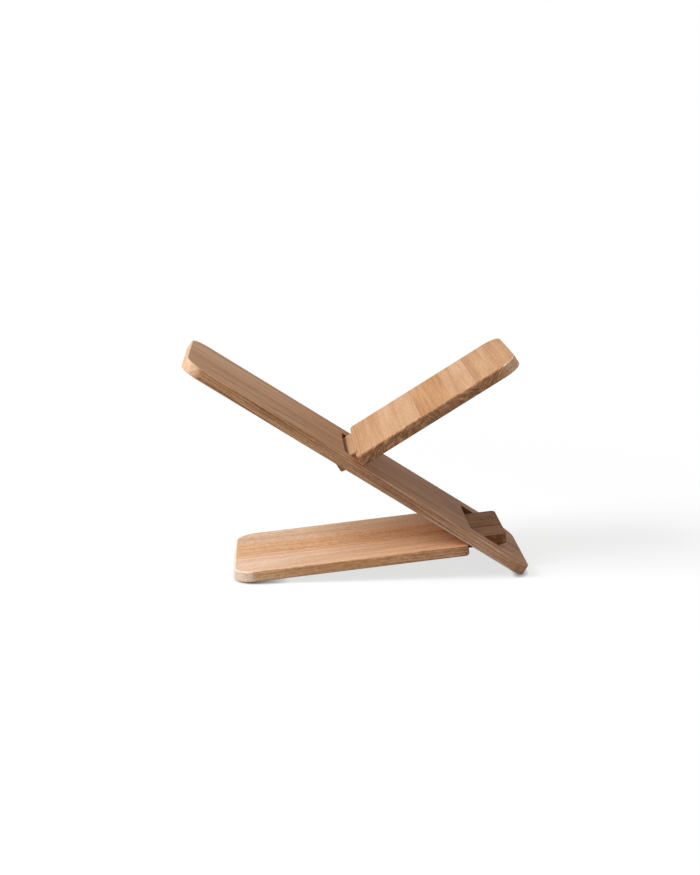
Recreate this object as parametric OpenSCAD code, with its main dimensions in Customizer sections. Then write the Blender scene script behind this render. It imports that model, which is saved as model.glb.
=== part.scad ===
// Knock-down book stand made of three flat boards.
//
// The long leaf slopes down to the table and carries one half of an open book.
// The short leaf stands on it and carries the other half, so the two make a V.
// The foot lies under the long leaf and props it up.
// The short leaf and the foot each end in square shoulders and a narrower tongue.
// A tongue goes through a window in the long leaf, and the shoulders stop it.
// Each board is glued up from solid staves, and every stave is one piece here.
//
// X runs along the stand, Y from its front to its back and Z up from the table.
// The origin is on the table, under the middle of the whole stand.

/* [Boards] */
// Thickness of every board
board_t = 12; // [10:0.5:15]
// Width of every board, from the front of the stand to its back
board_w = 140; // [115:1:170]
// Radius of the boards' free corners, seen square to the board
corner_r = 21; // [12:1:30]
// Radius of the shoulders' outer corners, seen square to the board
shoulder_r = 3; // [1:0.5:6]
// Radius that eases the outer arrises
ease_r = 1.5; // [0.5:0.1:2.5]

/* [Long leaf] */
// Length of the long leaf
long_len = 428; // [355:1:515]
// Slope of the long leaf, in degrees above the table
long_slope = 32.75; // [28:0.25:40]
// Distance from its lower end up to the foot's shoulders
foot_at = 72.6; // [62:0.2:88]
// Distance from its lower end up to the short leaf's shoulders
short_at = 214.6; // [178:0.2:258]

/* [Short leaf] */
// Length of the short leaf, without its tongue
short_len = 196; // [163:1:236]
// Slope of the short leaf, in degrees above the table
short_slope = 32; // [26:0.5:39]
// Length of its tongue
short_tongue = 24.5; // [20:0.5:40]

/* [Foot] */
// Length of the foot, without its tongue
foot_len = 250; // [208:1:300]
// Length of its tongue
foot_tongue = 44; // [36:0.5:60]

/* [Tongues and windows] */
// Wood left in front of a window, and behind it
window_inset = 25; // [18:0.5:32]
// Radius of a window's corners
window_r = 4.5; // [2:0.5:9]
// Radius of a tongue's corners
tongue_r = 5; // [2:0.5:9]
// Least gap between a tongue's arrises and its window's round corners
side_gap = 0.25; // [0.1:0.05:1]
// Play above and below the short leaf's tongue, square to it
short_play = 0.5; // [0.1:0.05:2]
// Play above and below the foot's tongue, square to it
foot_play = 1.2; // [0.2:0.1:2]
// Gap between the shoulders and the long leaf
seat_gap = 0.05; // [0.02:0.01:0.3]

/* [Staves] */
// Width of the long leaf's front stave
long_front_w = 33; // [27:0.5:40]
// Width of the long leaf's middle stave
long_middle_w = 45; // [37:0.5:54]
// Width of the foot's front stave
foot_front_w = 49.5; // [41:0.5:55]
// Width of the foot's middle stave
foot_middle_w = 49; // [40:0.5:55]
// Distance from the short leaf's shoulders to its first glue line
short_first_w = 32; // [26:0.5:38]
// Width of the short leaf's second stave
short_second_w = 47; // [39:0.5:54]
// Width of its third stave
short_third_w = 38; // [31:0.5:45]
// Width of its fourth stave
short_fourth_w = 29.5; // [24:0.5:35]

/* [Hidden] */

// Flats along an eased arris's quarter round
ease_steps = 4;
// Facets of a full circle
round_steps = 72;
// How far a cutting shape runs past the wood it cuts
past = 1;

// Front of the stand in Y
front_y = -board_w / 2;
// Width of a window
window_w = board_w - 2 * window_inset;

// Height of the long leaf's lower end before its arris is eased: the eased arris touches the table
long_low_z = ease_r * (1 - sin(long_slope) - cos(long_slope));
// The foot's shoulders meet the long leaf's underside at this height
foot_meet_z = long_low_z + foot_at * sin(long_slope) - seat_gap * cos(long_slope);
// Slope of the foot, at which its eased lower arris touches the table too
foot_reach = norm([foot_len - ease_r, board_t - ease_r]);
foot_slope = asin((foot_meet_z - ease_r) / foot_reach) - atan((board_t - ease_r) / (foot_len - ease_r));

// Angles at which the tongues pass through the long leaf
foot_angle = long_slope + foot_slope;
short_angle = long_slope + short_slope;

// Play of each tongue, measured along the long leaf
foot_play_along = foot_play / sin(foot_angle);
short_play_along = short_play / sin(short_angle);

// Both windows' ends, as distances from the long leaf's lower end
foot_window_low = foot_at - board_t / tan(foot_angle) - board_t / sin(foot_angle) - foot_play_along;
foot_window_high = foot_at + foot_play_along;
short_window_low = short_at - short_play_along;
short_window_high = short_at + board_t / tan(short_angle) + board_t / sin(short_angle) + short_play_along;

// Radius a window's corner has beyond that of the tongue's arris in it
corner_extra = max(0, window_r - ease_r);
// Distance from the front of a board to its tongue, wide enough for those corners
foot_tongue_inset = window_inset + side_room(foot_play_along);
short_tongue_inset = window_inset + side_room(short_play_along);

// How far the stand reaches to the left and to the right of the long leaf's lower end
left_reach = (long_len - ease_r) * cos(long_slope) - ease_r * sin(long_slope) + ease_r;
long_right = (board_t - ease_r) * sin(long_slope) - ease_r * cos(long_slope) + ease_r;
short_right = (board_t + seat_gap) * sin(long_slope) - short_at * cos(long_slope)
    + (short_len - ease_r) * cos(short_slope) - ease_r * sin(short_slope) + ease_r;
right_reach = max(long_right, short_right);
// Place of the long leaf's lower end, with the whole stand centred on the origin
long_low_x = (left_reach - right_reach) / 2;

// Colours of the wood, from the palest stave to the darkest
pale_wood = [0.87, 0.70, 0.55];
mid_wood = [0.82, 0.64, 0.48];
warm_wood = [0.78, 0.58, 0.42];
dark_wood = [0.70, 0.50, 0.36];

// Gap beside a tongue at which its arrises clear the window's corners, for its play along the leaf
function side_room(play_along) =
    side_gap + corner_extra - sqrt(corner_extra ^ 2 - max(0, corner_extra - play_along) ^ 2);

// Points of a quarter round of radius r about the point centre, from the angle start
function quarter(centre, r, start) = [
    for (i = [0 : ease_steps])
        let (angle = start + 90 * i / ease_steps)
            centre + r * [cos(angle), sin(angle)]
];

// Section across a board: wide along X, one board thick along Y, all four arrises eased
function section(wide) = concat(
    quarter([ease_r, ease_r], ease_r, 180),
    quarter([wide - ease_r, ease_r], ease_r, 270),
    quarter([wide - ease_r, board_t - ease_r], ease_r, 0),
    quarter([ease_r, board_t - ease_r], ease_r, 90)
);

// Section of a board's end: deep along X, square at zero and eased at the far side
function end_section(deep) = concat(
    [[0, board_t], [0, 0]],
    quarter([deep - ease_r, ease_r], ease_r, 270),
    quarter([deep - ease_r, board_t - ease_r], ease_r, 0)
);

// Straight stretch of board along X with eased front and back arrises
module straight(length, wide) {
    rotate([90, 0, 90])
        linear_extrude(height = length)
            polygon(section(wide));
}

// End of a board beyond X zero, with both corners rounded to the radius r
module rounded_end(wide, r) {
    translate([0, wide - r, 0])
        rotate([90, 0, 0])
            linear_extrude(height = wide - 2 * r)
                polygon(end_section(r));
    translate([0, wide - r, 0])
        rotate_extrude(angle = 90, $fn = round_steps)
            polygon(end_section(r));
    translate([0, r, 0])
        rotate([0, 0, -90])
            rotate_extrude(angle = 90, $fn = round_steps)
                polygon(end_section(r));
}

// Board from X zero, cut square there, with a rounded far end
module half_rounded_board(length, wide, r) {
    straight(length - r, wide);
    translate([length - r, 0, 0])
        rounded_end(wide, r);
}

// What comes off a board's upright corner at the origin to round it to the radius r
module corner_waste(r) {
    translate([0, 0, -past])
        linear_extrude(height = board_t + 2 * past)
            difference() {
                translate([-past, -past])
                    square(r + past);
                translate([r, r])
                    circle(r = r, $fn = round_steps);
            }
}

// Board with shoulders at X zero, and a tongue beyond them that runs the other way
module shouldered_board(length, tongue, tongue_inset) {
    difference() {
        half_rounded_board(length, board_w, corner_r);
        corner_waste(shoulder_r);
        translate([0, board_w, 0])
            mirror([0, 1, 0])
                corner_waste(shoulder_r);
    }
    translate([0, board_w - tongue_inset, 0])
        rotate([0, 0, 180])
            half_rounded_board(tongue, board_w - 2 * tongue_inset, tongue_r);
}

// Window through the long leaf between two distances from its lower end
module window(low, high) {
    length = high - low;
    translate([low, window_inset, -past])
        linear_extrude(height = board_t + 2 * past) {
            translate([window_r, 0])
                square([length - 2 * window_r, window_w]);
            translate([0, window_r])
                square([length, window_w - 2 * window_r]);
            for (x = [window_r, length - window_r], y = [window_r, window_w - window_r])
                translate([x, y])
                    circle(r = window_r, $fn = round_steps);
        }
}

// Long leaf, lying flat: X zero is its lower end and X grows up the leaf
module long_leaf() {
    difference() {
        union() {
            translate([corner_r, 0, 0])
                half_rounded_board(long_len - corner_r, board_w, corner_r);
            translate([corner_r, board_w, 0])
                rotate([0, 0, 180])
                    rounded_end(board_w, corner_r);
        }
        window(foot_window_low, foot_window_high);
        window(short_window_low, short_window_high);
    }
}

// Short leaf, lying flat on its underside with its shoulders at X zero
module short_leaf() {
    shouldered_board(short_len, short_tongue, short_tongue_inset);
}

// Foot, lying flat on its underside with its shoulders at X zero
module foot() {
    shouldered_board(foot_len, foot_tongue, foot_tongue_inset);
}

// Keeps the part of a board between two distances along it and two depths from its front
module only_between(from_x, to_x, from_y, to_y) {
    intersection() {
        children();
        translate([from_x, from_y, -past])
            cube([to_x - from_x, to_y - from_y, board_t + 2 * past]);
    }
}

// Puts the long leaf in its place; mirrored, because X grows to the left in use
module place_long() {
    translate([long_low_x, front_y, long_low_z])
        rotate([0, long_slope, 0])
            mirror([1, 0, 0])
                children();
}

// Puts the short leaf in its place, its lower shoulder arris on the long leaf
module place_short() {
    x = long_low_x - short_at * cos(long_slope) + (board_t + seat_gap) * sin(long_slope);
    z = long_low_z + short_at * sin(long_slope) + (board_t + seat_gap) * cos(long_slope);
    translate([x, front_y, z])
        rotate([0, -short_slope, 0])
            children();
}

// Puts the foot in its place, its upper shoulder arris under the long leaf
module place_foot() {
    x = long_low_x - foot_at * cos(long_slope) - seat_gap * sin(long_slope);
    translate([x, front_y, foot_meet_z])
        rotate([0, -foot_slope, 0])
            translate([0, 0, -board_t])
                mirror([1, 0, 0])
                    children();
}

// Stave of the long leaf between two depths, over all its length unless told otherwise
module long_leaf_stave(from, to, shade, low = -past, high = long_len + past) {
    color(shade)
        place_long()
            only_between(low, high, from, to)
                long_leaf();
}

// Stave of the short leaf between two distances from its shoulders
module short_leaf_stave(from, to, shade) {
    color(shade)
        place_short()
            only_between(from, to, -past, board_w + past)
                short_leaf();
}

// Stave of the foot between two depths
module foot_stave(from, to, shade) {
    color(shade)
        place_foot()
            only_between(-foot_tongue - past, foot_len + past, from, to)
                foot();
}

// Glue lines of the long leaf, as depths from its front
long_line_1 = long_front_w;
long_line_2 = long_line_1 + long_middle_w;

// The windows part the middle stave in three, and these lie inside the two windows
in_foot_window = (foot_window_low + foot_window_high) / 2;
in_short_window = (short_window_low + short_window_high) / 2;

module long_leaf_front_stave() {
    long_leaf_stave(-past, long_line_1, mid_wood);
}

module long_leaf_middle_stave_lower() {
    long_leaf_stave(long_line_1, long_line_2, warm_wood, high = in_foot_window);
}

module long_leaf_middle_stave_centre() {
    long_leaf_stave(long_line_1, long_line_2, warm_wood, low = in_foot_window, high = in_short_window);
}

module long_leaf_middle_stave_upper() {
    long_leaf_stave(long_line_1, long_line_2, warm_wood, low = in_short_window);
}

module long_leaf_back_stave() {
    long_leaf_stave(long_line_2, board_w + past, dark_wood);
}

// Glue lines of the short leaf, as distances from its shoulders
short_line_1 = short_first_w;
short_line_2 = short_line_1 + short_second_w;
short_line_3 = short_line_2 + short_third_w;
short_line_4 = short_line_3 + short_fourth_w;

module short_leaf_tongue_stave() {
    short_leaf_stave(-short_tongue - past, short_line_1, dark_wood);
}

module short_leaf_second_stave() {
    short_leaf_stave(short_line_1, short_line_2, warm_wood);
}

module short_leaf_third_stave() {
    short_leaf_stave(short_line_2, short_line_3, mid_wood);
}

module short_leaf_fourth_stave() {
    short_leaf_stave(short_line_3, short_line_4, dark_wood);
}

module short_leaf_end_stave() {
    short_leaf_stave(short_line_4, short_len + past, warm_wood);
}

// Glue lines of the foot, as depths from its front
foot_line_1 = foot_front_w;
foot_line_2 = foot_line_1 + foot_middle_w;

module foot_front_stave() {
    foot_stave(-past, foot_line_1, pale_wood);
}

module foot_middle_stave() {
    foot_stave(foot_line_1, foot_line_2, warm_wood);
}

module foot_back_stave() {
    foot_stave(foot_line_2, board_w + past, mid_wood);
}

long_leaf_front_stave();
long_leaf_middle_stave_lower();
long_leaf_middle_stave_centre();
long_leaf_middle_stave_upper();
long_leaf_back_stave();
short_leaf_tongue_stave();
short_leaf_second_stave();
short_leaf_third_stave();
short_leaf_fourth_stave();
short_leaf_end_stave();
foot_front_stave();
foot_middle_stave();
foot_back_stave();
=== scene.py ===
import math
from types import SimpleNamespace

import bmesh
import bpy
from mathutils import Matrix, Vector


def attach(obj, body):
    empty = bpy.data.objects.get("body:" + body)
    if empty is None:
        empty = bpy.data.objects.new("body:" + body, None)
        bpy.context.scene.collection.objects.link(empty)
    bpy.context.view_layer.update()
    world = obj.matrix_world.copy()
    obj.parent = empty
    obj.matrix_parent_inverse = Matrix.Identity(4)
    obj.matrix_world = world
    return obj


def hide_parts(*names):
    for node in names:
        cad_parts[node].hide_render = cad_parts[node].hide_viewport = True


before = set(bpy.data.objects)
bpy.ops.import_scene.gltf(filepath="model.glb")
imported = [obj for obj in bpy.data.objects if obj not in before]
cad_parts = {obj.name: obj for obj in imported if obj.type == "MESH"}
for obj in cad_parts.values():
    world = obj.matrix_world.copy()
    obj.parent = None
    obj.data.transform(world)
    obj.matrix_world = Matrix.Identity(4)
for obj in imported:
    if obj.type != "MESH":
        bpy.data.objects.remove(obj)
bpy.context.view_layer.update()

# Knock-down book stand: three boards of edge-glued, oiled beech.
# Sizes are in metres. Each board is made lying flat, split into its staves and set in its place.

MM = 0.001
NEAR = 0.01 * MM

# How finely roundings are cut, and the angles at which a bend counts as flat, smooth or an arris
CORNER_STEPS = 20
SHOULDER_STEPS = 8
TONGUE_STEPS = 8
WINDOW_STEPS = 10
ARRIS_STEPS = 4
FLAT_ANGLE = math.radians(0.5)
SMOOTH_ANGLE = math.radians(40)
ARRIS_ANGLE = math.radians(60)

# All boards
BOARD_T = 12 * MM
BOARD_W = 140 * MM
CORNER_R = 21 * MM
SHOULDER_R = 3 * MM
ARRIS_R = 1.5 * MM
SEAT_GAP = 0.05 * MM
HALF_W = BOARD_W / 2

# Long leaf, with distances up from its lower end
LONG_LEN = 428 * MM
LONG_SLOPE = math.radians(32.75)
FOOT_AT = 72.6 * MM
SHORT_AT = 214.6 * MM

# Short leaf
SHORT_LEN = 196 * MM
SHORT_SLOPE = math.radians(32)
SHORT_TONGUE = 24.5 * MM
SHORT_PLAY = 0.5 * MM

# Foot
FOOT_LEN = 250 * MM
FOOT_TONGUE = 44 * MM
FOOT_PLAY = 1.2 * MM

# Windows and tongues
WINDOW_INSET = 25 * MM
WINDOW_R = 4.5 * MM
TONGUE_R = 5 * MM
SIDE_GAP = 0.25 * MM
FINE_ARRIS_R = 0.5 * MM

# Glue lines: depths from the front, and for the short leaf distances from its shoulders
LONG_LINES = [33 * MM, 78 * MM]
FOOT_LINES = [49.5 * MM, 98.5 * MM]
SHORT_LINES = [32 * MM, 79 * MM, 117 * MM, 146.5 * MM]

# Where the boards stand, worked out as on the bench: both lower arrises touch the table
low_z = ARRIS_R * (1 - math.sin(LONG_SLOPE) - math.cos(LONG_SLOPE))
foot_meet_z = low_z + FOOT_AT * math.sin(LONG_SLOPE) - SEAT_GAP * math.cos(LONG_SLOPE)
foot_reach = math.hypot(FOOT_LEN - ARRIS_R, BOARD_T - ARRIS_R)
FOOT_SLOPE = math.asin((foot_meet_z - ARRIS_R) / foot_reach) - math.atan2(
    BOARD_T - ARRIS_R, FOOT_LEN - ARRIS_R)
left_reach = (
    (LONG_LEN - ARRIS_R) * math.cos(LONG_SLOPE) - ARRIS_R * math.sin(LONG_SLOPE) + ARRIS_R)
right_reach = (
    (BOARD_T - ARRIS_R) * math.sin(LONG_SLOPE) - ARRIS_R * math.cos(LONG_SLOPE) + ARRIS_R)
low_x = (left_reach - right_reach) / 2
foot_angle = LONG_SLOPE + FOOT_SLOPE
short_angle = LONG_SLOPE + SHORT_SLOPE

foot_play_along = FOOT_PLAY / math.sin(foot_angle)
short_play_along = SHORT_PLAY / math.sin(short_angle)
FOOT_WINDOW = (
    FOOT_AT - BOARD_T / math.tan(foot_angle) - BOARD_T / math.sin(foot_angle) - foot_play_along,
    FOOT_AT + foot_play_along,
)
SHORT_WINDOW = (
    SHORT_AT - short_play_along,
    SHORT_AT + BOARD_T / math.tan(short_angle) + BOARD_T / math.sin(short_angle) + short_play_along,
)


def side_room(play_along):
    """Gap beside a tongue at which its arrises clear the window's round corners."""
    extra = WINDOW_R - ARRIS_R
    return SIDE_GAP + extra - math.sqrt(extra ** 2 - max(0, extra - play_along) ** 2)


FOOT_TONGUE_INSET = WINDOW_INSET + side_room(foot_play_along)
SHORT_TONGUE_INSET = WINDOW_INSET + side_room(short_play_along)


# ---------------------------------------------------------------- bench work

def take(piece):
    """Makes a piece the only one chosen, and the one that is worked on."""
    bpy.ops.object.select_all(action="DESELECT")
    piece.select_set(True)
    bpy.context.view_layer.objects.active = piece


def open_up(piece):
    take(piece)
    bpy.ops.object.mode_set(mode="EDIT")


def close_up():
    bpy.ops.object.mode_set(mode="OBJECT")


def pick(piece, kind, wanted):
    """Chooses, of an opened piece, just the edges or faces that pass the test."""
    bpy.ops.mesh.select_mode(type=kind)
    bpy.ops.mesh.select_all(action="DESELECT")
    shape = bmesh.from_edit_mesh(piece.data)
    for part in shape.edges if kind == "EDGE" else shape.faces:
        if wanted(part):
            part.select_set(True)
    bmesh.update_edit_mesh(piece.data)


def sawn_blank(name, low, high):
    """A square-edged piece of board between two corners."""
    bpy.ops.object.select_all(action="DESELECT")
    bpy.ops.mesh.primitive_cube_add(size=1, location=(Vector(low) + Vector(high)) / 2)
    piece = bpy.context.active_object
    piece.name = piece.data.name = name
    piece.scale = Vector(high) - Vector(low)
    bpy.ops.object.transform_apply(location=True, rotation=True, scale=True)
    return piece


def upright_at(edge, x):
    """Whether an edge stands square to the board's faces, at a distance x along it."""
    a, b = (v.co for v in edge.verts)
    return abs(a.z - b.z) > BOARD_T / 2 and abs(a.x - x) < NEAR and abs(b.x - x) < NEAR


def round_corners(piece, x, radius, steps):
    """Rounds the corners, seen square to the board, of the end that lies at x."""
    open_up(piece)
    pick(piece, "EDGE", lambda e: upright_at(e, x))
    bpy.ops.mesh.bevel(
        offset=radius, offset_type="OFFSET", segments=steps, profile=0.5, affect="EDGES",
        clamp_overlap=False)
    close_up()


def add_tongue(piece, length, inset):
    """Draws a tongue out of the end face at x 0, inset from the front and the back."""
    open_up(piece)
    for y in (-HALF_W + inset, HALF_W - inset):
        bpy.ops.mesh.select_all(action="SELECT")
        bpy.ops.mesh.bisect(plane_co=(0, y, 0), plane_no=(0, 1, 0))
    pick(piece, "FACE", lambda f: (
        abs(f.calc_center_median().x) < NEAR
        and abs(f.calc_center_median().y) < HALF_W - inset))
    bpy.ops.mesh.extrude_region_move(TRANSFORM_OT_translate={"value": (length, 0, 0)})
    bpy.ops.mesh.select_all(action="SELECT")
    bpy.ops.mesh.dissolve_limited(angle_limit=FLAT_ANGLE)
    bpy.ops.mesh.normals_make_consistent(inside=False)
    close_up()
    round_corners(piece, length, TONGUE_R, TONGUE_STEPS)


def cut_window(board, from_x, to_x):
    """Cuts a round-cornered window through the board."""
    plug = sawn_blank(
        "window_plug", (from_x, -HALF_W + WINDOW_INSET, -2 * BOARD_T),
        (to_x, HALF_W - WINDOW_INSET, 2 * BOARD_T))
    for x in (from_x, to_x):
        round_corners(plug, x, WINDOW_R, WINDOW_STEPS)
    take(board)
    cut = board.modifiers.new("window", "BOOLEAN")
    cut.operation = "DIFFERENCE"
    cut.solver = "EXACT"
    cut.object = plug
    bpy.ops.object.modifier_apply(modifier=cut.name)
    bpy.data.objects.remove(plug)


def ease_arrises(board, radius_of):
    """Rounds every arris by the radius that radius_of gives for its two ends."""
    shape = bmesh.new()
    shape.from_mesh(board.data)
    weight = shape.edges.layers.float.new("bevel_weight_edge")
    for edge in shape.edges:
        if len(edge.link_faces) == 2 and edge.calc_face_angle(0) > ARRIS_ANGLE:
            edge[weight] = radius_of(*(v.co for v in edge.verts)) / ARRIS_R
    shape.to_mesh(board.data)
    shape.free()
    take(board)
    ease = board.modifiers.new("arrises", "BEVEL")
    ease.limit_method = "WEIGHT"
    ease.width = ARRIS_R
    ease.segments = ARRIS_STEPS
    ease.use_clamp_overlap = False
    bpy.ops.object.modifier_apply(modifier=ease.name)


def split(board, name, axis, low, high):
    """The stave between two glue lines, taken from a copy of the board."""
    stave = board.copy()
    stave.data = board.data.copy()
    stave.name = stave.data.name = name
    bpy.context.scene.collection.objects.link(stave)
    open_up(stave)
    for at, side in ((low, -1), (high, 1)):
        if at is None:
            continue
        bpy.ops.mesh.select_all(action="SELECT")
        bpy.ops.mesh.bisect(
            plane_co=Vector(axis) * at, plane_no=Vector(axis) * side,
            use_fill=True, clear_outer=True)
    bpy.ops.mesh.select_all(action="SELECT")
    bpy.ops.mesh.normals_make_consistent(inside=False)
    close_up()
    return stave


def part_lengths(stave, names):
    """Parts a stave that the windows cut through into its separate lengths."""
    open_up(stave)
    bpy.ops.mesh.select_all(action="SELECT")
    bpy.ops.mesh.separate(type="LOOSE")
    close_up()
    lengths = sorted(bpy.context.selected_objects, key=lambda p: -p.data.vertices[0].co.x)
    for piece, name in zip(lengths, names):
        piece.name = piece.data.name = name
    return lengths


def smooth_finish(stave):
    """Shades the rounded arrises smooth and the flats flat."""
    take(stave)
    bpy.ops.object.shade_smooth_by_angle(angle=SMOOTH_ANGLE)
    even = stave.modifiers.new("even", "WEIGHTED_NORMAL")
    even.keep_sharp = True
    even.weight = 100
    bpy.ops.object.modifier_apply(modifier=even.name)


def seat(stave, place):
    """Sets a stave in its place in the stand, with the place in its mesh."""
    take(stave)
    stave.matrix_world = place
    bpy.ops.object.transform_apply(location=True, rotation=True, scale=True)


# ---------------------------------------------------------------- the three boards

def make_long_leaf():
    """Long leaf: x 0 is its lower end and it runs up towards -x, z 0 is its underside."""
    board = sawn_blank("long_leaf_board", (-LONG_LEN, -HALF_W, 0), (0, HALF_W, BOARD_T))
    for x in (0, -LONG_LEN):
        round_corners(board, x, CORNER_R, CORNER_STEPS)
    for low, high in (FOOT_WINDOW, SHORT_WINDOW):
        cut_window(board, -high, -low)

    def radius_of(a, b):
        if abs(a.z - b.z) > NEAR:
            return 0
        within = max(abs(a.y), abs(b.y)) < HALF_W - WINDOW_INSET + NEAR
        in_window = within and -LONG_LEN + CORNER_R < a.x < -CORNER_R
        return FINE_ARRIS_R if in_window else ARRIS_R

    ease_arrises(board, radius_of)
    return board


def make_tongued_board(name, far_x, free_z, tongue, inset):
    """A board with rounded corners at far_x, and shoulders and a tongue at x 0.

    The shoulders bear on the long leaf with their arris at z 0, and that at free_z is free.
    """
    board = sawn_blank(
        name, (min(0, far_x), -HALF_W, min(0, free_z)), (max(0, far_x), HALF_W, max(0, free_z)))
    round_corners(board, far_x, CORNER_R, CORNER_STEPS)
    round_corners(board, 0, SHOULDER_R, SHOULDER_STEPS)
    add_tongue(board, tongue, inset)

    def radius_of(a, b):
        if abs(a.z - b.z) > NEAR:
            return 0
        at_shoulder = FINE_ARRIS_R if abs(a.z) < NEAR else SHOULDER_R
        from_shoulder = max(0, (abs(a.x) + abs(b.x)) / 2 / SHOULDER_R)
        on_board = min(abs(a.y), abs(b.y)) > HALF_W - inset - NEAR or from_shoulder < NEAR
        if not on_board or from_shoulder >= 1:
            return ARRIS_R
        return at_shoulder + (ARRIS_R - at_shoulder) * from_shoulder

    ease_arrises(board, radius_of)
    return board


long_place = Matrix.Translation((low_x, 0, low_z)) @ Matrix.Rotation(LONG_SLOPE, 4, "Y")
short_place = Matrix.Translation((
    low_x - SHORT_AT * math.cos(LONG_SLOPE) + (BOARD_T + SEAT_GAP) * math.sin(LONG_SLOPE),
    0,
    low_z + SHORT_AT * math.sin(LONG_SLOPE) + (BOARD_T + SEAT_GAP) * math.cos(LONG_SLOPE),
)) @ Matrix.Rotation(-SHORT_SLOPE, 4, "Y")
foot_place = Matrix.Translation((
    low_x - FOOT_AT * math.cos(LONG_SLOPE) - SEAT_GAP * math.sin(LONG_SLOPE), 0, foot_meet_z,
)) @ Matrix.Rotation(-FOOT_SLOPE, 4, "Y")

ACROSS = (0, 1, 0)
ALONG = (1, 0, 0)

long_board = make_long_leaf()
line_1, line_2 = (line - HALF_W for line in LONG_LINES)
long_staves = [
    split(long_board, "long_leaf_front_stave_wood", ACROSS, None, line_1),
    split(long_board, "long_leaf_back_stave_wood", ACROSS, line_2, None),
]
long_staves += part_lengths(
    split(long_board, "long_leaf_middle", ACROSS, line_1, line_2),
    ["long_leaf_middle_stave_lower_wood", "long_leaf_middle_stave_centre_wood",
     "long_leaf_middle_stave_upper_wood"])

short_board = make_tongued_board(
    "short_leaf_board", SHORT_LEN, BOARD_T, -SHORT_TONGUE, SHORT_TONGUE_INSET)
short_names = ["tongue", "second", "third", "fourth", "end"]
short_staves = [
    split(short_board, f"short_leaf_{name}_stave_wood", ALONG, low, high)
    for name, low, high in zip(short_names, [None] + SHORT_LINES, SHORT_LINES + [None])
]

foot_board = make_tongued_board(
    "foot_board", -FOOT_LEN, -BOARD_T, FOOT_TONGUE, FOOT_TONGUE_INSET)
foot_lines = [line - HALF_W for line in FOOT_LINES]
foot_names = ["front", "middle", "back"]
foot_staves = [
    split(foot_board, f"foot_{name}_stave_wood", ACROSS, low, high)
    for name, low, high in zip(foot_names, [None] + foot_lines, foot_lines + [None])
]

for board in (long_board, short_board, foot_board):
    bpy.data.objects.remove(board)


# ---------------------------------------------------------------- shader nodes

# Nearly all of a noise lies between these values
NOISE_SPAN = (0.28, 0.72)


def node(tree, kind, inputs=(), **settings):
    """Adds a shader node. Inputs are pairs of a socket's name or number and a value or a link."""
    made = tree.nodes.new(kind)
    for name, value in settings.items():
        setattr(made, name, value)
    for name, value in inputs:
        if isinstance(value, bpy.types.NodeSocket):
            tree.links.new(value, made.inputs[name])
        else:
            made.inputs[name].default_value = value
    return made


def calc(tree, operation, *values, clamp=False):
    made = node(
        tree, "ShaderNodeMath", list(enumerate(values)), operation=operation, use_clamp=clamp)
    return made.outputs[0]


def vector_calc(tree, operation, *values):
    made = node(tree, "ShaderNodeVectorMath", list(enumerate(values)), operation=operation)
    return made.outputs["Value" if operation in ("LENGTH", "DOT_PRODUCT") else "Vector"]


def total(tree, *values):
    """Adds up any number of values."""
    made = values[0]
    for value in values[1:]:
        made = calc(tree, "ADD", made, value)
    return made


def noise(tree, where, size, detail=2.0, roughness=0.5, output=0):
    """Noise on coordinates in mm, with marks of about the given size along each axis."""
    stretched = vector_calc(tree, "MULTIPLY", where, tuple(1 / length for length in size))
    made = node(
        tree, "ShaderNodeTexNoise",
        [("Vector", stretched), ("Scale", 1.0), ("Detail", detail), ("Roughness", roughness)])
    return made.outputs[output]


def spread(tree, value, low, high, to_low=0.0, to_high=1.0, smooth=False):
    """Maps a value between low and high onto another stretch, held at its ends."""
    made = node(
        tree, "ShaderNodeMapRange",
        [("Value", value), ("From Min", low), ("From Max", high),
         ("To Min", to_low), ("To Max", to_high)],
        interpolation_type="SMOOTHSTEP" if smooth else "LINEAR", clamp=True)
    return made.outputs[0]


def swing(tree, value, reach):
    """Turns noise into a change of tone, as far down as up."""
    return spread(tree, value, *NOISE_SPAN, -reach, reach)


def ramp(tree, value, stops):
    """Turns a value from 0 to 1 into a colour. Each stop is a place and a colour."""
    made = node(tree, "ShaderNodeValToRGB", [("Fac", value)])
    elements = made.color_ramp.elements
    for element, (_, colour) in zip(elements, (stops[0], stops[-1])):
        element.color = (*colour, 1)
    for at, colour in stops[1:-1]:
        elements.new(at).color = (*colour, 1)
    return made.outputs[0]


def off_from(tree, value, middle):
    """How far a value is from a middle one, on either side."""
    return calc(tree, "ABSOLUTE", calc(tree, "SUBTRACT", value, middle))


def mix(tree, factor, start, finish):
    """Goes from one number to another."""
    made = node(tree, "ShaderNodeMix", [("Factor", factor), ("A", start), ("B", finish)])
    return made.outputs[0]


def blend(tree, factor, start, finish):
    """Goes from one vector to another: a Mix node has them at its inputs 4 and 5."""
    made = node(
        tree, "ShaderNodeMix", [("Factor", factor), (4, start), (5, finish)], data_type="VECTOR")
    return made.outputs[1]


def either(tree, factor, start, finish):
    """Goes from one shader node to another."""
    return node(
        tree, "ShaderNodeMixShader",
        [(0, factor), (1, start.outputs[0]), (2, finish.outputs[0])])


def stepped(tree, tone, along, steps):
    """Changes a tone in smooth steps, each between two places along the grain."""
    for start, finish, change in steps:
        step = spread(tree, along, start, finish, 0, change, smooth=True)
        tone = calc(tree, "ADD", tone, step)
    return tone


def turned(tree, tint, along, turns):
    """Multiplies a tint by others that come in smoothly between two places along the grain."""
    for start, finish, change in turns:
        coming = blend(tree, spread(tree, along, start, finish, smooth=True), PLAIN, change)
        tint = vector_calc(tree, "MULTIPLY", tint, coming)
    return tint


# ---------------------------------------------------------------- beech

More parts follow.
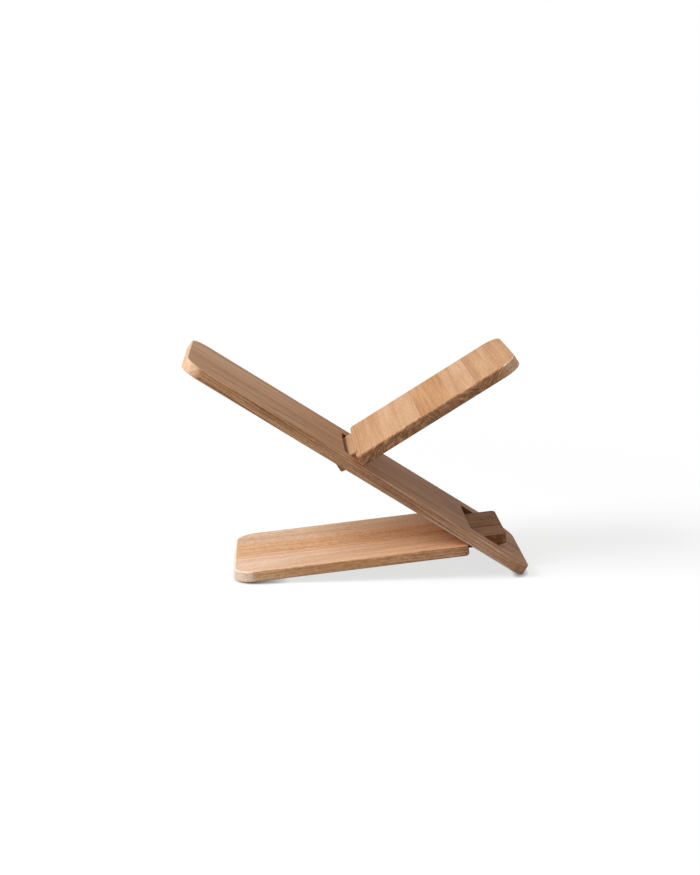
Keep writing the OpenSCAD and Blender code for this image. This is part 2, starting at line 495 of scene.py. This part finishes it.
# Tones of oiled beech from the palest to the deepest, as places on a ramp
BEECH_TONES = [
    (0.00, (0.920, 0.700, 0.540)),
    (0.20, (0.765, 0.520, 0.345)),
    (0.40, (0.630, 0.375, 0.212)),
    (0.60, (0.470, 0.247, 0.126)),
    (1.00, (0.170, 0.078, 0.036)),
]

# Tints, by which a tone's red, green and blue are multiplied
PLAIN = (1, 1, 1)
PINKISH = (1.01, 1.00, 1.05)
GOLDEN = (1.00, 0.94, 0.84)
WARM = (1.03, 0.98, 0.96)
AMBER = (1.03, 0.97, 0.92)
TAN = (1.04, 0.96, 0.87)
ORANGE = (1.06, 0.96, 0.84)
DEEP_ORANGE = (1.07, 0.92, 0.75)
MAUVE = (1.01, 1.00, 1.03)
PALE_PINK = (1.01, 1.05, 1.15)
# The tint of painted warm bounce light in the shade under the long leaf, and the tint that takes it
# off again
WARM_BOUNCE = (1.06, 0.95, 0.82)
NO_WARM_BOUNCE = (0.94, 1.05, 1.22)
COOLER = (0.99, 1.02, 1.18)
RUDDIER = (1.01, 0.92, 0.86)
BLUER = (0.98, 1.00, 1.12)
MILKY = (1.04, 1.10, 1.20)

# What is set for a stave's beech. Tones are places on the ramp of tones. Places and sizes are
# in mm: along the grain from the long leaf's lower end or the foot's shoulders, across the
# stave from the board's middle line or the short leaf's shoulders, and through it from the
# face at z 0. Every stave has its own of these:
#   pith        where the log's pith lies, across the stave and through it
#   drift       the two angles in degrees at which the log lies aslant
#   seed        a number that picks the figure
#   tone        depth of the faces
#   arris_tone  what rounded arrises have more: partly wear, partly a painted highlight
#   end_tone    depth of the end grain
#   end_tint    tint of the end grain
# The values below hold where a stave has none of its own.
BEECH = dict(
    # Width of the rings
    ring_w=2.9,
    # What edges have more in depth, and the painted shade that the walls of the windows have more
    # than that
    side_tone=0.04,
    wall_tone=0.0,
    # Strength of each mark, the width of a streak, and by how much rings, streaks and mottle
    # are stronger on the edges
    ring_mark=0.15,
    band_mark=0.08,
    streak_mark=0.08,
    streak_w=1.4,
    mottle_mark=0.06,
    speckle_mark=0.04,
    end_mark=0.13,
    pore_mark=0.07,
    side_gain=2.0,
    # How much faces, edges and end grain deepen over FADE_OVER along the grain, and further
    # steps of tone, each with the two places along the grain that it lies between and its change
    fade=(0.0, 0.0, 0.0),
    face_steps=(),
    side_steps=(),
    end_steps=(),
    # Steps of tone for a painted highlight: a thin pale line above the lower arris of the edges
    low_line=(),
    # A stripe of another tone on the end grain, weaker on the edges: its place across the
    # stave, its width and its change
    stripe=None,
    # Tints of faces and edges, and further tints that come in along the grain
    tint=PLAIN,
    side_tint=ORANGE,
    face_turns=(),
    side_turns=(),
    end_turns=(),
)
FADE_OVER = 100

# Marks that are the same in every stave, and the strength of a stripe on the edges
SIDE_BAND_MARK = 0.08
CLOUD_MARK = 0.04
FIBRE_MARK = 0.06
FLECK_MARK = 0.14
END_RING_MARK = 0.10
END_BAND_MARK = 0.06
SIDE_STRIPE = 0.4

# How deep the wood is from the start of a ring to its end, how far in rings they stray from
# an even width, how faint the faintest is, and how far in mm the log's axis wanders
LATE_WOOD = [(0.00, 0.00), (0.55, 0.06), (0.82, 0.40), (0.92, 1.00), (1.00, 0.00)]
RING_STRAY = 1.8
FAINTEST_RING = 0.15
SWAY = (0, 9, 9)

# How far from each other the figures of two seeds are taken
SEED_STEP = (131, 57, 23)
RING_SEED_STEP = 17

# The painted highlight above the lower arris: its height above the underside, and half its
# width at full strength and where it ends
LOW_LINE_Z = 1.1
LOW_LINE_HALF = (0.3, 1.3)

# How far from the board's middle line a window's walls lie, and where, a little further into
# the wood, their painted shade fades out
WALL_Y = (HALF_W - WINDOW_INSET) / MM
WALL_ENDS = (WALL_Y + 1, WALL_Y + 3)

# A fleck shows where its noise is above the first value, and is whole from the second on
FLECK_SPAN = (0.58, 0.72)

# Finish: from the smoothest fibre to the roughest, what end grain has more, the gloss, and the
# relief, in which fibres and late wood stand up and flecks lie low
FIBRE_SPAN = (0.25, 0.75)
ROUGHNESS = (0.44, 0.56)
END_ROUGHER = 0.12
OIL_IOR = 1.45
OIL_GLOSS = 0.32
RELIEF_DEPTH = 0.12 * MM
RELIEF_STRENGTH = 0.25
FIBRE_RELIEF = 0.5
RING_RELIEF = 0.3
FLECK_RELIEF = -0.4


def grain_space(tree, object_place, place, turn):
    """Coordinates in mm, with the grain along x, y across the stave and z through it."""
    return node(
        tree, "ShaderNodeMapping",
        [("Vector", object_place), ("Location", place.to_translation()),
         ("Rotation", (place.to_3x3() @ turn).to_euler("XYZ")), ("Scale", (MM, MM, MM))],
        vector_type="TEXTURE").outputs[0]


def growth_rings(tree, wood, from_pith, ring_w, seed):
    """Late wood of the rings: it deepens slowly, ends sharply, and no two rings are alike."""
    uneven = noise(tree, wood, (420, 16, 16), detail=1.0)
    ring = calc(
        tree, "ADD", calc(tree, "DIVIDE", from_pith, ring_w),
        calc(tree, "MULTIPLY", uneven, RING_STRAY))
    late_wood = ramp(
        tree, calc(tree, "FRACT", ring), [(at, (level,) * 3) for at, level in LATE_WOOD])
    chance = node(
        tree, "ShaderNodeTexWhiteNoise",
        [("W", calc(tree, "ADD", calc(tree, "FLOOR", ring), seed * RING_SEED_STEP))],
        noise_dimensions="1D").outputs["Value"]
    return calc(tree, "MULTIPLY", late_wood, spread(tree, chance, 0, 1, FAINTEST_RING, 1.0))


def ray_noise(tree, log, from_pith, mean_r, length, width, reach):
    """Noise drawn out into sheets that stand square to the rings, as the rays of beech do."""
    parts = node(tree, "ShaderNodeSeparateXYZ", [("Vector", log)])
    about = calc(tree, "ARCTAN2", parts.outputs[2], parts.outputs[1])
    where = node(tree, "ShaderNodeCombineXYZ", [
        (0, calc(tree, "DIVIDE", parts.outputs[0], length)),
        (1, calc(tree, "MULTIPLY", about, mean_r / width)),
        (2, calc(tree, "DIVIDE", from_pith, reach))]).outputs[0]
    return noise(tree, where, (1, 1, 1))


def figures(tree, look, drifted, wood):
    """Every figure of the wood, each as a value over the surface."""
    # The log's axis wanders slowly along the stave
    sway = noise(tree, wood, (150, 34, 34), detail=1.5, roughness=0.45, output=1)
    sway = vector_calc(tree, "SUBTRACT", sway, (0.5, 0.5, 0.5))
    sway = vector_calc(tree, "MULTIPLY", sway, SWAY)
    log = vector_calc(tree, "ADD", drifted, sway)
    log = vector_calc(tree, "ADD", log, (0, -look.pith[0], -look.pith[1]))
    from_pith = vector_calc(tree, "LENGTH", vector_calc(tree, "MULTIPLY", log, (0, 1, 1)))
    mean_r = math.hypot(*look.pith)
    flecks = ray_noise(tree, log, from_pith, mean_r, length=2.6, width=0.42, reach=9)
    return SimpleNamespace(
        rings=growth_rings(tree, wood, from_pith, look.ring_w, look.seed),
        band=noise(tree, wood, (320, 9, 9)),
        cloud=noise(tree, wood, (90, 45, 45), detail=1.0),
        streak=noise(tree, wood, (90, look.streak_w, 1.4), detail=3.0, roughness=0.6),
        fibre=noise(tree, wood, (26, 0.5, 0.5), detail=3.0, roughness=0.6),
        mottle=noise(tree, wood, (6.0, 2.2, 2.2), detail=3.0, roughness=0.65),
        speckle=noise(tree, wood, (1.6, 2.4, 2.4), detail=1.0),
        flecks=spread(tree, flecks, *FLECK_SPAN, smooth=True),
        ray_lines=ray_noise(tree, log, from_pith, mean_r, length=4, width=1.2, reach=8),
        pores=noise(tree, wood, (1.8, 1.3, 1.3), detail=3.0, roughness=0.65))


def surface_kinds(tree, normal, facing):
    """How far the surface is end grain, an edge of the stave and a rounded arris, from 0 to 1.

    The columns of facing are the directions along the grain, across the stave and through it,
    and each kind sets in between two cosines of the surface's angle to one of them.
    """
    to_end, to_side, to_face = (
        calc(tree, "ABSOLUTE", vector_calc(tree, "DOT_PRODUCT", normal, axis))
        for axis in facing.col)
    to_rim = calc(tree, "SUBTRACT", 1.0, calc(tree, "MULTIPLY", to_face, to_face), clamp=True)
    flatness = calc(tree, "MAXIMUM", to_face, calc(tree, "SQRT", to_rim))
    return SimpleNamespace(
        end=spread(tree, to_end, 0.01, 0.10, smooth=True),
        side=spread(tree, to_side, 0.45, 0.95, smooth=True),
        arris=spread(tree, flatness, 0.80, 0.97, 1, 0, smooth=True))


def stripe_tone(tree, across, stripe):
    """The change of tone that a stripe brings, at its full strength over half its width."""
    at, width, change = stripe
    off = off_from(tree, across, at)
    return spread(tree, off, width / 4, width / 2, change, 0, smooth=True)


def long_grain_tone(tree, look, figure, kind, along, across, through):
    """Depth of colour of the faces and edges, with painted highlights on the arrises and painted
    shade on window walls.
    """
    side = kind.side
    marks = total(
        tree, calc(tree, "MULTIPLY", figure.rings, look.ring_mark),
        swing(tree, figure.streak, look.streak_mark),
        swing(tree, figure.mottle, look.mottle_mark))
    band_mark = mix(tree, side, look.band_mark, SIDE_BAND_MARK)
    face_change = stepped(tree, 0.0, along, look.face_steps)
    side_change = stepped(tree, 0.0, along, look.side_steps)
    fading = spread(tree, side, 0, 1, look.fade[0] / FADE_OVER, look.fade[1] / FADE_OVER)
    tone = total(
        tree, look.tone,
        calc(tree, "MULTIPLY", swing(tree, figure.band, 1), band_mark),
        swing(tree, figure.cloud, CLOUD_MARK),
        swing(tree, figure.fibre, FIBRE_MARK),
        swing(tree, figure.speckle, look.speckle_mark),
        calc(tree, "MULTIPLY", figure.flecks, FLECK_MARK),
        calc(tree, "MULTIPLY", marks, spread(tree, side, 0, 1, 1, look.side_gain)),
        calc(tree, "MULTIPLY", side, look.side_tone),
        calc(tree, "MULTIPLY", kind.arris, look.arris_tone),
        mix(tree, side, face_change, side_change),
        calc(tree, "MULTIPLY", along, fading))
    # A painted highlight: a thin pale line above the lower arris of the edges
    if look.low_line:
        off = off_from(tree, through, LOW_LINE_Z)
        line = calc(tree, "MULTIPLY", side, spread(tree, off, *LOW_LINE_HALF, 1, 0, smooth=True))
        change = stepped(tree, 0.0, along, look.low_line)
        tone = calc(tree, "ADD", tone, calc(tree, "MULTIPLY", line, change))
    # Painted shade on the walls of the windows
    if look.wall_tone:
        from_middle = calc(tree, "ABSOLUTE", across)
        wall = spread(tree, from_middle, *WALL_ENDS, look.wall_tone, 0)
        tone = calc(tree, "ADD", tone, calc(tree, "MULTIPLY", side, wall))
    if look.stripe:
        stripe = calc(tree, "MULTIPLY", stripe_tone(tree, across, look.stripe), SIDE_STRIPE)
        tone = calc(tree, "ADD", tone, calc(tree, "MULTIPLY", side, stripe))
    return tone


def end_grain_tone(tree, look, figure, kind, along, across):
    """Depth of colour of the end grain: arcs of the rings, crossed by the rays, and pores."""
    tone = total(
        tree, look.end_tone,
        calc(tree, "MULTIPLY", figure.rings, END_RING_MARK),
        swing(tree, figure.ray_lines, look.end_mark),
        swing(tree, figure.pores, look.pore_mark),
        swing(tree, figure.band, END_BAND_MARK),
        # Paler rounded arrises: partly wear, partly a painted highlight
        calc(tree, "MULTIPLY", kind.arris, look.arris_tone),
        calc(tree, "MULTIPLY", along, look.fade[2] / FADE_OVER))
    if look.stripe:
        tone = calc(tree, "ADD", tone, stripe_tone(tree, across, look.stripe))
    return stepped(tree, tone, along, look.end_steps)


def beech(name, place, grain_turn, own):
    """Oiled beech for a stave of a board that stands at place, with the stave's own settings.

    The grain runs along the board's x, turned by grain_turn about its z.
    """
    look = SimpleNamespace(**{**BEECH, **own})
    material = bpy.data.materials.new(name)
    material.use_nodes = True
    tree = material.node_tree
    tree.nodes.clear()
    coordinates = node(tree, "ShaderNodeTexCoord")
    turn = Matrix.Rotation(grain_turn, 3, "Z")
    aslant, uphill = (math.radians(angle) for angle in look.drift)
    tilt = Matrix.Rotation(aslant, 3, "Z") @ Matrix.Rotation(uphill, 3, "Y")
    flat = grain_space(tree, coordinates.outputs["Object"], place, turn)
    drifted = grain_space(tree, coordinates.outputs["Object"], place, turn @ tilt)
    away = tuple(look.seed * step for step in SEED_STEP)
    wood = vector_calc(tree, "ADD", drifted, away)

    along, across, through = node(tree, "ShaderNodeSeparateXYZ", [("Vector", flat)]).outputs
    kind = surface_kinds(tree, coordinates.outputs["Normal"], place.to_3x3() @ turn)
    figure = figures(tree, look, drifted, wood)
    depth = mix(
        tree, kind.end, long_grain_tone(tree, look, figure, kind, along, across, through),
        end_grain_tone(tree, look, figure, kind, along, across))
    long_tint = blend(
        tree, kind.side, turned(tree, look.tint, along, look.face_turns),
        turned(tree, look.side_tint, along, look.side_turns))
    end_tint = turned(tree, look.end_tint, along, look.end_turns)
    tinted = vector_calc(
        tree, "MULTIPLY", ramp(tree, depth, BEECH_TONES),
        blend(tree, kind.end, long_tint, end_tint))

    rough = calc(
        tree, "ADD", spread(tree, figure.fibre, *FIBRE_SPAN, *ROUGHNESS),
        calc(tree, "MULTIPLY", kind.end, END_ROUGHER))
    relief = total(
        tree, calc(tree, "MULTIPLY", figure.fibre, FIBRE_RELIEF),
        calc(tree, "MULTIPLY", figure.rings, RING_RELIEF),
        calc(tree, "MULTIPLY", figure.flecks, FLECK_RELIEF))
    bump = node(
        tree, "ShaderNodeBump",
        [("Strength", RELIEF_STRENGTH), ("Distance", RELIEF_DEPTH), ("Height", relief)])
    surface = node(
        tree, "ShaderNodeBsdfPrincipled",
        [("Base Color", tinted), ("Roughness", rough), ("Normal", bump.outputs[0]),
         ("IOR", OIL_IOR), ("Specular IOR Level", OIL_GLOSS)])
    node(tree, "ShaderNodeOutputMaterial", [("Surface", surface.outputs[0])])
    return material


QUARTER_TURN = math.radians(90)

# Between these places, inside the long leaf, the foot's tongue takes its deeper tone, which is
# painted shade
TONGUE_SHADE_SPAN = (-22, 22)

# The wood of each stave. What is cut from one length of wood shares its figures.
# The long leaf is deeper in tone than the other boards: partly its own wood, partly painted shade,
# deepest on its lower stretch, where its faces turn bluer with painted cool shade. Its end steps
# and end turn deepen and redden the end grain of the window walls, painted shade, and pale its
# lower end. The walls of its windows take painted shade as well.
LONG_WOOD = dict(
    end_tone=0.70, arris_tone=-0.06, wall_tone=0.45,
    band_mark=0.11, streak_mark=0.15, streak_w=2.6, fade=(0.05, 0.02, 0.09),
    face_steps=((-115, -90, 0.04), (-75, -50, -0.09)),
    end_steps=((-419, -405, 0.14), (-396, -380, 0.16), (-30, -22, -0.57)),
    tint=MAUVE, side_tint=AMBER, end_tint=PALE_PINK,
    face_turns=((-190, -110, BLUER),), end_turns=((-419, -405, RUDDIER),))
LONG_MIDDLE = dict(
    LONG_WOOD, pith=(52, -120), drift=(-0.6, 0.5), ring_w=3.0, seed=2.9, tone=0.60)
SHORT_WOOD = dict(arris_tone=-0.02, end_mark=0.30, pore_mark=0.15, end_tint=WARM)
# In the foot, the warm tint towards the shoulders is partly the wood's own and partly painted warm
# bounce light under the long leaf. The second end step deepens the tongue's end grain with painted
# shade.
FOOT_WOOD = dict(
    arris_tone=-0.03, streak_w=2.6, end_steps=((-60, -40, 0.50), (5, 15, 0.40)),
    side_tint=DEEP_ORANGE, end_tint=MILKY,
    face_turns=((-200, -40, WARM_BOUNCE), (-8, 8, NO_WARM_BOUNCE)))
STAVES = {
    "long_leaf_front_stave": dict(
        LONG_WOOD, pith=(-30, -95), drift=(0.9, 1.4), ring_w=2.7, seed=1.3,
        tone=0.63, side_tone=-0.24, ring_mark=0.36, side_gain=1.8,
        # The third side step and the side turn deepen and cool the front edge below the short
        # leaf's seat: painted shade
        side_steps=(
            (-412, -385, 0.11), (-370, -290, -0.02), (-215, -190, 0.05), (-150, -130, -0.09)),
        # A painted highlight above the lower arris, on the stretch over the foot
        low_line=((-150, -120, -0.33),), side_turns=((-240, -190, COOLER),)),
    "long_leaf_middle_stave_lower": LONG_MIDDLE,
    "long_leaf_middle_stave_centre": LONG_MIDDLE,
    "long_leaf_middle_stave_upper": LONG_MIDDLE,
    "long_leaf_back_stave": dict(
        LONG_WOOD, pith=(90, -60), drift=(0.5, -0.6), ring_w=2.8, seed=4.1, tone=0.58),
    "short_leaf_tongue_stave": dict(
        SHORT_WOOD, pith=(-105, 60), drift=(0.8, 0.4), ring_w=3.0, seed=5.7,
        tone=0.44, end_tone=0.70),
    "short_leaf_second_stave": dict(
        SHORT_WOOD, pith=(90, -45), drift=(-0.7, 0.3), ring_w=2.8, seed=6.2,
        tone=0.40, end_tone=0.67),
    "short_leaf_third_stave": dict(
        SHORT_WOOD, pith=(-120, -50), drift=(0.6, 0.7), seed=7.6,
        tone=0.46, end_tone=0.68, tint=GOLDEN),
    "short_leaf_fourth_stave": dict(
        SHORT_WOOD, pith=(95, 60), drift=(0.2, -0.5), ring_w=3.1, seed=8.8,
        tone=0.38, end_tone=0.64),
    "short_leaf_end_stave": dict(
        SHORT_WOOD, pith=(-90, -55), drift=(-0.4, 0.6), seed=9.4,
        tone=0.43, side_tone=-0.08, end_tone=0.67, stripe=(-SHORT_LEN / MM, 53, -0.47)),
    # The deeper faces, edges and end grain of the foot's tongue in these staves are painted shade
    "foot_front_stave": dict(
        FOOT_WOOD, pith=(-10, -150), drift=(0.5, 0.6), ring_w=3.2, seed=10.3,
        tone=0.325, side_tone=-0.02, end_tone=0.0, ring_mark=0.08, streak_mark=0.07,
        mottle_mark=0.07, speckle_mark=0.06, end_mark=0.12, pore_mark=0.34, side_gain=2.7,
        fade=(0.09, 0.09, 0), face_steps=((*TONGUE_SHADE_SPAN, 0.47),),
        side_steps=((-235, -190, 0.06), (*TONGUE_SHADE_SPAN, 0.58)),
        tint=PINKISH, side_turns=((-110, -40, COOLER),)),
    "foot_middle_stave": dict(
        FOOT_WOOD, pith=(30, -110), drift=(-0.5, 0.5), ring_w=3.0, seed=11.9,
        tone=0.33, end_tone=0.06, ring_mark=0.18, streak_mark=0.14, mottle_mark=0.14,
        speckle_mark=0.11, pore_mark=0.22, fade=(0.02, 0.02, 0),
        face_steps=((*TONGUE_SHADE_SPAN, 0.41),), tint=TAN),
    "foot_back_stave": dict(
        FOOT_WOOD, pith=(60, -130), drift=(0.7, -0.4), ring_w=3.1, seed=12.5,
        tone=0.28, end_tone=0.04, ring_mark=0.14, streak_mark=0.11, mottle_mark=0.11,
        speckle_mark=0.09, pore_mark=0.22, face_steps=((*TONGUE_SHADE_SPAN, 0.38),),
        side_steps=((*TONGUE_SHADE_SPAN, 0.51),), tint=PALE_PINK),
}

boards = [
    ("long_leaf", long_staves, long_place, 0),
    ("short_leaf", short_staves, short_place, QUARTER_TURN),
    ("foot", foot_staves, foot_place, 0),
]
for body, staves, place, grain_turn in boards:
    for stave in staves:
        part = stave.name.removesuffix("_wood")
        seat(stave, place)
        smooth_finish(stave)
        stave.data.materials.clear()
        stave.data.materials.append(beech(f"beech_{part}", place, grain_turn, STAVES[part]))
        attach(stave, body)
        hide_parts(part)


# ---------------------------------------------------------------- floor, light and camera

WHITE = (1, 1, 1, 1)

# The floor shows the stand's shadow up to SHADOW_R from the middle, and is white from WHITE_R on
FLOOR_SIZE = 40
SHADOW_R = 0.30
WHITE_R = 0.75

# What the floor throws back onto the stand, and as it is seen: what takes light and shadow,
# what lifts it to near white, and how far the contact shade reaches
FLOOR_GREY = (0.28, 0.28, 0.28, 1)
FLOOR_SHADED = (0.325, 0.34, 0.36, 1)
FLOOR_LIFT = 0.72
CONTACT_REACH = 6 * MM

ROOM_LIGHT = (1.0, 0.93, 0.84, 1)
ROOM_STRENGTH = 0.37
STAND_MIDDLE = (0, 0, 0.1)


def lay_floor():
    """Pale floor, with the stand's soft shadow and a small contact shade where it touches."""
    bpy.ops.object.select_all(action="DESELECT")
    bpy.ops.mesh.primitive_plane_add(size=FLOOR_SIZE)
    floor = bpy.context.active_object
    floor.name = "floor"
    material = bpy.data.materials.new("pale_floor")
    material.use_nodes = True
    tree = material.node_tree
    tree.nodes.clear()
    lit = node(tree, "ShaderNodeBsdfDiffuse", [("Color", FLOOR_GREY)])
    shaded = node(tree, "ShaderNodeBsdfDiffuse", [("Color", FLOOR_SHADED)])
    contact = node(
        tree, "ShaderNodeAmbientOcclusion",
        [("Color", WHITE), ("Distance", CONTACT_REACH)], samples=4)
    lift = node(
        tree, "ShaderNodeEmission", [("Color", contact.outputs[0]), ("Strength", FLOOR_LIFT)])
    near = node(tree, "ShaderNodeAddShader", [(0, shaded.outputs[0]), (1, lift.outputs[0])])
    white = node(tree, "ShaderNodeEmission", [("Color", WHITE), ("Strength", 1.0)])
    where = node(tree, "ShaderNodeTexCoord").outputs["Object"]
    far_off = spread(
        tree, vector_calc(tree, "LENGTH", where), SHADOW_R, WHITE_R, smooth=True)
    seen = either(tree, far_off, near, white)
    path = node(tree, "ShaderNodeLightPath")
    mixed = either(tree, path.outputs["Is Camera Ray"], lit, seen)
    node(tree, "ShaderNodeOutputMaterial", [("Surface", mixed.outputs[0])])
    floor.data.materials.append(material)


def light_room():
    """Even room light, white where the camera looks straight at it."""
    world = bpy.data.worlds.new("room")
    bpy.context.scene.world = world
    world.use_nodes = True
    tree = world.node_tree
    tree.nodes.clear()
    light = node(
        tree, "ShaderNodeBackground", [("Color", ROOM_LIGHT), ("Strength", ROOM_STRENGTH)])
    white = node(tree, "ShaderNodeBackground", [("Color", WHITE), ("Strength", 1.0)])
    path = node(tree, "ShaderNodeLightPath")
    mixed = either(tree, path.outputs["Is Camera Ray"], light, white)
    node(tree, "ShaderNodeOutputWorld", [("Surface", mixed.outputs[0])])


def hang_lamp(name, place, size, power, colour):
    """A square soft lamp at a place, turned to face the middle of the stand."""
    lamp = bpy.data.objects.new(name, bpy.data.lights.new(name, "AREA"))
    lamp.data.shape = "SQUARE"
    lamp.data.size = size
    lamp.data.energy = power
    lamp.data.color = colour
    lamp.location = place
    aim = Vector(STAND_MIDDLE) - Vector(place)
    lamp.rotation_euler = aim.to_track_quat("-Z", "Y").to_euler()
    bpy.context.scene.collection.objects.link(lamp)
    return lamp


def place_camera():
    """Camera at the photographed view, with shifts meant for a portrait frame of 700 by 875, which
    is not set here.
    """
    data = bpy.data.cameras.new("camera")
    data.sensor_width = 36
    data.lens = 61.70
    data.shift_x = -0.0245
    data.shift_y = -0.0301
    data.clip_start, data.clip_end = 0.05, 100
    camera = bpy.data.objects.new("camera", data)
    camera.location = (-0.08558, -1.58079, 0.51628)
    camera.rotation_euler = (math.radians(77.663), 0, math.radians(-3.706))
    bpy.context.scene.collection.objects.link(camera)
    bpy.context.scene.camera = camera


lay_floor()
light_room()
hang_lamp("key_lamp", (-1.34, -0.42, 1.34), size=0.85, power=34, colour=(1.0, 0.985, 0.955))
fill_lamp = hang_lamp(
    "fill_lamp", (1.5, 0.1, 0.42), size=0.8, power=4.2, colour=(0.93, 0.96, 1.05))
fill_lamp.visible_glossy = False
place_camera()
bpy.context.scene.view_settings.view_transform = "Standard"
